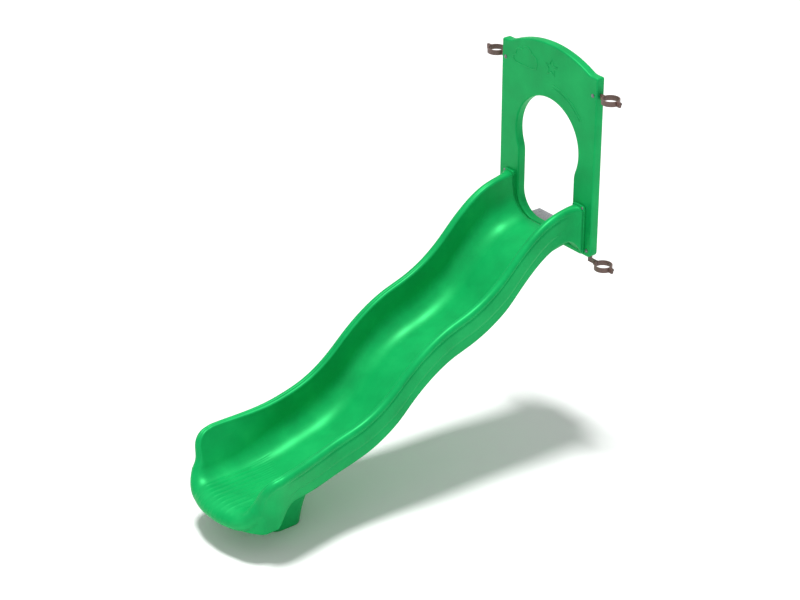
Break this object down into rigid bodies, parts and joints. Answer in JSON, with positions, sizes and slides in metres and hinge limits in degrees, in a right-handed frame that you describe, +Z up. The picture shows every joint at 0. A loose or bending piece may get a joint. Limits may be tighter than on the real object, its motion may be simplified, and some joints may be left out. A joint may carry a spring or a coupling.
{
  "type": "wave slide",
  "caption": "Moulded plastic wave slide with flared entry, arch panel, post clamps, ribbed run-out lip, exit pedestal and ground anchor.",
  "frame": {"origin": "on the ground, midway between the axes of the two tower posts", "axes": "+Z up, +X across the slide, +Y towards the deck; the slide runs down towards -Y"},
  "size_m": [1.0624, 2.382, 2.6709],
  "materials": {
    "chute_plastic": "moulded polyethylene, bright green, fine satin texture",
    "panel_plastic": "moulded polyethylene, bright green, fine satin texture",
    "pedestal_plastic": "moulded polyethylene, bright green, fine satin texture",
    "clamp_paint": "powder coat, reddish brown",
    "zinc": "zinc-plated steel",
    "galvanised": "hot-dip galvanised steel",
    "brass": "machined brass",
    "black_plastic": "black moulded plastic"
  },
  "bodies": {
    "root": {"anchor_bolts": "zinc", "anchor_leg_caps": "black_plastic", "anchor_washers": "zinc", "backing_plate_left": "galvanised", "backing_plate_right": "galvanised", "clamp_bolts": "clamp_paint", "clamp_nuts": "zinc", "clamp_washers": "zinc", "deck_bracket": "galvanised", "entry_panel": "panel_plastic", "exit_pedestal": "pedestal_plastic", "flange_bolts": "zinc", "flange_nuts": "zinc", "flange_washers": "zinc", "ground_anchor": "galvanised", "lower_left_clamp_front": "clamp_paint", "lower_left_clamp_rear": "clamp_paint", "lower_right_clamp_front": "clamp_paint", "lower_right_clamp_rear": "clamp_paint", "panel_bolts": "zinc", "panel_nuts": "zinc", "panel_washers": "zinc", "threaded_inserts": "brass", "upper_left_clamp_front": "clamp_paint", "upper_left_clamp_rear": "clamp_paint", "upper_right_clamp_front": "clamp_paint", "upper_right_clamp_rear": "clamp_paint", "vent_plugs": "panel_plastic", "wave_chute": "chute_plastic"}
  },
  "joints": []
}
